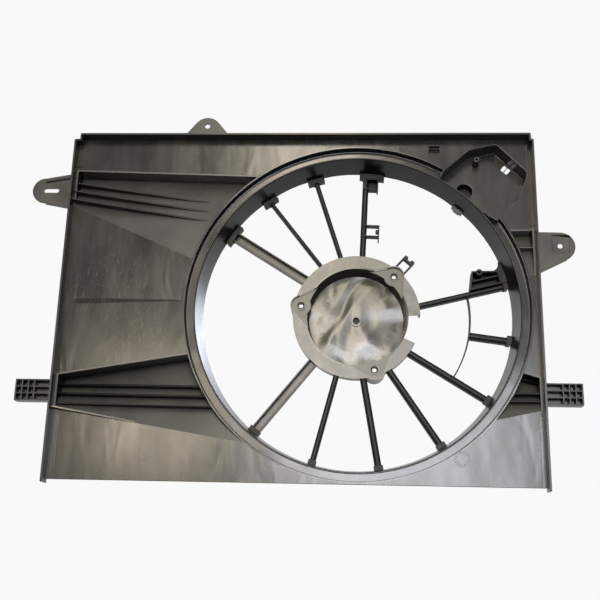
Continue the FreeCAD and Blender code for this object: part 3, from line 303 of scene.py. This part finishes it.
def make_cup_skin():
    """Polished nylon: it mirrors the lamps in swirls and arcs."""
    material = moulded_skin("polished_black_PA66_cup", "#2e2b25", "#3d3a32", 0.17, 0.27, 60.0)
    tree = material.node_tree
    place = add_node(tree, "ShaderNodeTexCoord").outputs["Object"]
    # a wave texture of scale s repeats every pi / (10 * s) metres
    rings = add_node(tree, "ShaderNodeTexWave", {"wave_type": "RINGS", "rings_direction": "Y"},
                     Vector=place, Scale=math.pi / (10.0 * RING_STEP_MM * MM), Distortion=1.5,
                     Detail=1.0)
    ring_bump = add_node(tree, "ShaderNodeBump", Strength=0.5, Distance=RING_DEPTH_MM * MM,
                         Height=rings.outputs["Fac"])
    long_way = add_node(tree, "ShaderNodeMapping", Vector=place, Location=SWIRL_SHIFT,
                        Scale=SWIRL_SQUEEZE).outputs["Vector"]
    swirl = add_node(tree, "ShaderNodeTexNoise", Vector=long_way, Scale=1.0 / (SWIRL_MM * MM),
                     Detail=0.0, Distortion=1.6)
    bump = add_node(tree, "ShaderNodeBump", Strength=1.0, Distance=SWIRL_DEPTH_MM * MM,
                    Height=swirl.outputs["Fac"], Normal=ring_bump.outputs["Normal"])
    tree.links.new(bump.outputs["Normal"], tree.nodes["Principled BSDF"].inputs["Normal"])
    return material


cup_skin = make_cup_skin()
# glass near the skin: grey patches on a dull skirt, and plain satin ears
skirt_skin = moulded_skin("mottled_black_PA66_skirt", "#33322f", "#6b6a64", 0.22, 0.42, 22.0,
                          grain=0.08, sink_mm=0.25)
ear_skin = moulded_skin("satin_black_PA66_ears", "#3a3831", "#45433b", 0.30, 0.38, 30.0)
print("hub skins:", cup_skin.name, skirt_skin.name, ear_skin.name)

# %% [markdown]
# ## The spokes: spark-eroded and dull
# The spokes are cut deep into the mould by spark erosion, and that rough skin hardly shines.
# Their fronts are rounded, so only a thin line on each one catches the light.  The grain could
# be drawn pit by pit, but from here it only dulls the skin, so a high roughness stands for it.
# The first and the last spoke are open channels, with a paler satin floor.

# %% Spokes
# nylon off spark-eroded steel: the blackest, dullest skin on the part
spoke_skin = moulded_skin("spark_eroded_black_PA66", "#050505", "#0b0b0b", 0.40, 0.52, 30.0,
                          grain=0.12, sheen_level=0.16)
# nylon off blasted steel: a flat floor that takes a soft, even sheen
channel_skin = moulded_skin("satin_black_PA66_channels", "#2a2926", "#383732", 0.30, 0.40, 30.0)
print("spoke skins:", spoke_skin.name, channel_skin.name)

# %% [markdown]
# ## Soft edges: which ones are free
# A mould has no sharp corners, so every free edge of the real part is rounded by about half a
# millimetre and shows as a thin bright line.  The CAD solids have sharp edges.  A Bevel
# modifier could round all of them by their angle, but the regions are one moulding, and a bevel
# on both sides of a seam would cut a groove that the real part hasn't got.  So each edge is
# first tested: it is free only where no other region's triangle lies within 0.05 mm of it.

# %% Find the edges that touch a neighbour
SHARP = math.radians(35)
TOUCH_MM = 0.05
TESTED_AT = (0.1, 0.5, 0.9)  # shares of the edge's length


def triangles_of_all():
    """One search tree over every node, with the name that each triangle belongs to."""
    corners, faces, owners = [], [], []
    for name, node in nodes.items():
        first = len(corners)
        corners.extend(v.co.copy() for v in node.data.vertices)
        for face in node.data.polygons:
            faces.append([first + i for i in face.vertices])
            owners.append(name)
    return BVHTree.FromPolygons(corners, faces), owners


tree_of_all, owner_of = triangles_of_all()


def touches_neighbour(point, name):
    """Whether a triangle of another node is at this point."""
    hits = tree_of_all.find_nearest_range(point, TOUCH_MM * MM)
    return any(owner_of[index] != name for _, _, index, _ in hits)


def weigh_free_edges(mesh, name):
    """Bevel weight 1 on each sharp edge that touches no other node."""
    sides = {}
    for face in mesh.polygons:
        for key in face.edge_keys:
            sides.setdefault(key, []).append(face.normal)
    weights = mesh.attributes.new("bevel_weight_edge", "FLOAT", "EDGE")
    for edge in mesh.edges:
        normals = sides.get(edge.key, [])
        if len(normals) != 2 or normals[0].angle(normals[1], 0.0) < SHARP:
            continue
        a, b = (mesh.vertices[i].co for i in edge.vertices)
        if not any(touches_neighbour(a.lerp(b, share), name) for share in TESTED_AT):
            weights.data[edge.index].value = 1.0


print(len(owner_of), "triangles in the search tree")

# %% [markdown]
# ## Soft edges: copy, merge and round
# A CAD node's mesh is loose triangles and is never changed, so each region gets a copy.  Its
# triangles are merged and its flat faces are dissolved into one, because a bevel needs a clean
# edge to run along.  Then the free edges are rounded, with a smaller radius on thin regions.
# Weighted normals keep the flat faces flat right up to the rounding.

# %% Copy, merge and round each node
slot_of = {p["node"]: p["material_slot"] for p in frame["record"]["subparts"]}
EDGE_MM = 0.6
# thin regions take a smaller rounding
fine_edge_mm = {"moulding_marks": 0.12, "left_border_strip": 0.3, "right_border_strip": 0.3,
                "hub_cup_floor": 0.3, "blade_clip": 0.35, "arc_rib": 0.35, "clip_pocket": 0.3,
                "lower_left_tail_rib": 0.2, "panel_fold": 0.2, "pocket_latch_bar": 0.2,
                "upper_left_arm_lip": 0.2}
# the hub's thin crescents tear when they are rounded, so these nodes stay as they are
kept_sharp = {"hub_skirt", "hub_cup_wall", "motor_ear_1", "motor_ear_2", "motor_ear_3"}
# on these a bevel would shoot past short edges as spikes, so it stops where it would overlap
clamped = {"top_wall", "left_wall", "right_wall", "lower_left_peg", "lower_right_peg"}
MERGE_MM = 0.005
FLAT_WITHIN = math.radians(0.05)


def soften(name):
    """A merged copy of a node with its free edges bevelled."""
    piece = bpy.data.objects.new(name + "_moulded", nodes[name].data.copy())
    bpy.context.scene.collection.objects.link(piece)
    bpy.ops.object.select_all(action="DESELECT")
    piece.select_set(True)
    bpy.context.view_layer.objects.active = piece
    bpy.ops.object.mode_set(mode="EDIT")
    bpy.ops.mesh.select_all(action="SELECT")
    bpy.ops.mesh.remove_doubles(threshold=MERGE_MM * MM)
    bpy.ops.mesh.customdata_custom_splitnormals_clear()
    bpy.ops.mesh.dissolve_limited(angle_limit=FLAT_WITHIN)
    bpy.ops.object.mode_set(mode="OBJECT")
    weigh_free_edges(piece.data, name)
    bevel = piece.modifiers.new("round", "BEVEL")
    bevel.limit_method = "WEIGHT"
    bevel.width = fine_edge_mm.get(name, EDGE_MM) * MM
    bevel.segments = 2
    bevel.use_clamp_overlap = name in clamped
    bpy.ops.object.modifier_apply(modifier="round")
    bpy.ops.object.shade_smooth_by_angle(angle=SHARP)
    flat = piece.modifiers.new("flat", "WEIGHTED_NORMAL")
    flat.keep_sharp = True
    bpy.ops.object.modifier_apply(modifier="flat")
    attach(piece, "root")
    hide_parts(name)
    return piece


pieces = {name: soften(name) for name in sorted(set(nodes) - kept_sharp)}
print(len(pieces), "pieces,", sum(len(p.data.polygons) for p in pieces.values()), "faces")

# %% [markdown]
# ## A finish for each region
# The record gives each region a slot, such as the panel's or the ring's, and a slot has one
# finish.  Some regions differ from the rest of their slot, because another insert of the mould
# formed them.  They could be dressed one by one, but a list of the exceptions shows at a glance
# what is special.

# %% Give each piece its finish
finish_of_slot = {"panel_plastic": panel_skin, "ring_plastic": ring_skin, "hub_plastic": cup_skin,
                  "spoke_plastic": spoke_skin, "wall_plastic": wall_skin}
exceptions = [
    (skirt_skin, ["hub_skirt"]),
    (ear_skin, ["motor_ear_1", "motor_ear_2", "motor_ear_3"]),
    (channel_skin, ["spoke_01", "spoke_11"]),
    (arm_skin, ["upper_left_arm", "upper_right_arm", "top_ear"]),
    (ring_skin, ["hub_cup_wall"]),
    (barrel_skin, ["fan_barrel"]),
    (recess_finish_with_painted_shade, ["upper_left_recess", "lower_left_recess", "upper_right_recess",
                   "lower_right_recess"]),
    (spoke_skin, ["spoke_feet", "upper_left_gussets", "lower_left_ribs", "lower_right_ribs"]),
]
finish_of_node = {name: finish for finish, names in exceptions for name in names}

for name, node in nodes.items():
    finish = finish_of_node.get(name, finish_of_slot[slot_of[name]])
    for target in {node, pieces.get(name, node)}:
        target.data.materials.clear()
        target.data.materials.append(finish)
print("dressed", len(nodes), "nodes and", len(pieces), "pieces")

# %% [markdown]
# ## Studio: floor and background
# A white background could come from strong lamps, but they would grey the black plastic and
# lose its shadow.  Here the floor and the world are white where the camera or a mirror ray sees
# them, and grey for the light that they throw.  About half of the floor's white is lit by the
# lamps, so the shadow stays on it.

# %% Floor and world
FLOOR_SIZE = 30.0  # metres, so that its edge is far off in every view
FLOOR_DROP = 420.0 * MM  # from the part's lowest point down to the floor
FLOOR_GLOW = 0.55


def white_where_seen(tree):
    """1 for rays from the camera, a reflection or a transparent piece; 0 for diffuse light."""
    path = add_node(tree, "ShaderNodeLightPath")
    either = add_node(tree, "ShaderNodeMath", {"operation": "MAXIMUM"},
                      _0=path.outputs["Is Camera Ray"], _1=path.outputs["Is Glossy Ray"])
    return add_node(tree, "ShaderNodeMath", {"operation": "MAXIMUM"}, _0=either.outputs["Value"],
                    _1=path.outputs["Is Transmission Ray"]).outputs["Value"]


def make_floor():
    """A matt painted floor, even and without highlights."""
    bpy.ops.object.select_all(action="DESELECT")
    bpy.ops.mesh.primitive_plane_add(size=FLOOR_SIZE,
                                     location=(0.0, 0.0, cad_box[0].z - FLOOR_DROP))
    floor = bpy.context.object
    floor.name = "studio_floor"
    material, tree, shader = new_material("pale_matt_studio_floor")
    seen = white_where_seen(tree)
    colour = add_node(tree, "ShaderNodeMix", {"data_type": "RGBA"}, _0=seen,
                      _6=linear("#6a6a68"), _7=linear("#b4b4b2")).outputs[2]
    tree.links.new(colour, shader.inputs["Base Color"])
    glow = add_node(tree, "ShaderNodeMath", {"operation": "MULTIPLY"}, _0=seen, _1=FLOOR_GLOW)
    tree.links.new(glow.outputs["Value"], shader.inputs["Emission Strength"])
    shader.inputs["Emission Color"].default_value = linear("#f6f6f5")
    shader.inputs["Roughness"].default_value = 0.9
    floor.data.materials.append(material)
    return floor


def make_world():
    """A dim, cool sky for diffuse light, and plain white wherever it is seen."""
    world = bpy.data.worlds.new("studio_world")
    world.use_nodes = True
    tree = world.node_tree
    tree.nodes.clear()
    ambient = add_node(tree, "ShaderNodeBackground", Color=linear("#f2f4f8"), Strength=0.5)
    white = add_node(tree, "ShaderNodeBackground", Color=linear("#f9f9f9"), Strength=1.0)
    mixed = add_node(tree, "ShaderNodeMixShader", _0=white_where_seen(tree),
                     _1=ambient.outputs["Background"], _2=white.outputs["Background"])
    add_node(tree, "ShaderNodeOutputWorld", Surface=mixed.outputs["Shader"])
    bpy.context.scene.world = world


floor = make_floor()
make_world()
print("floor at", round(floor.location.z, 3), "m")

# %% [markdown]
# ## Studio: softboxes
# Black plastic is shaped by what it mirrors, so each lamp stands where one part of the shroud
# mirrors it.  One large dome would grey everything alike.  A tall warm softbox stands behind
# the camera, for the cup and the middle of the panel.  A low, wide one brightens the lower
# edge, and a small one the lower left corner.  The rest of the panel mirrors the background.
# A faint lamp on the right and one behind the part keep its other sides readable.


# %% Softboxes
def make_softbox(name, at, size, brightness, colour):
    """Rectangular lamp facing the fan axis.  Brightness is its radiance; a white card has 1."""
    data = bpy.data.lights.new(name, "AREA")
    data.shape = "RECTANGLE"
    data.size, data.size_y = size
    data.energy = brightness * math.pi * size[0] * size[1]
    data.color = linear(colour)[:3]
    lamp = bpy.data.objects.new(name, data)
    lamp.location = at
    lamp.rotation_mode = "QUATERNION"
    lamp.rotation_quaternion = (-Vector(at)).to_track_quat("-Z", "Y")
    bpy.context.scene.collection.objects.link(lamp)


# name, place and size in metres, brightness and colour
make_softbox("tall_softbox", (-0.20, -2.9, 1.14), (0.50, 1.75), 22.0, "#fff2dc")
make_softbox("low_softbox", (0.27, -3.0, 0.20), (1.15, 0.68), 22.0, "#f8faff")
make_softbox("left_low_softbox", (-0.90, -2.95, 0.36), (0.50, 0.50), 21.0, "#ffeed2")
make_softbox("right_softbox", (0.80, -2.9, 1.15), (0.4, 0.8), 1.0, "#ffffff")
make_softbox("back_softbox", (1.6, 3.4, 1.6), (1.6, 1.2), 7.0, "#eaf0ff")
bpy.context.scene.view_settings.view_transform = "Standard"
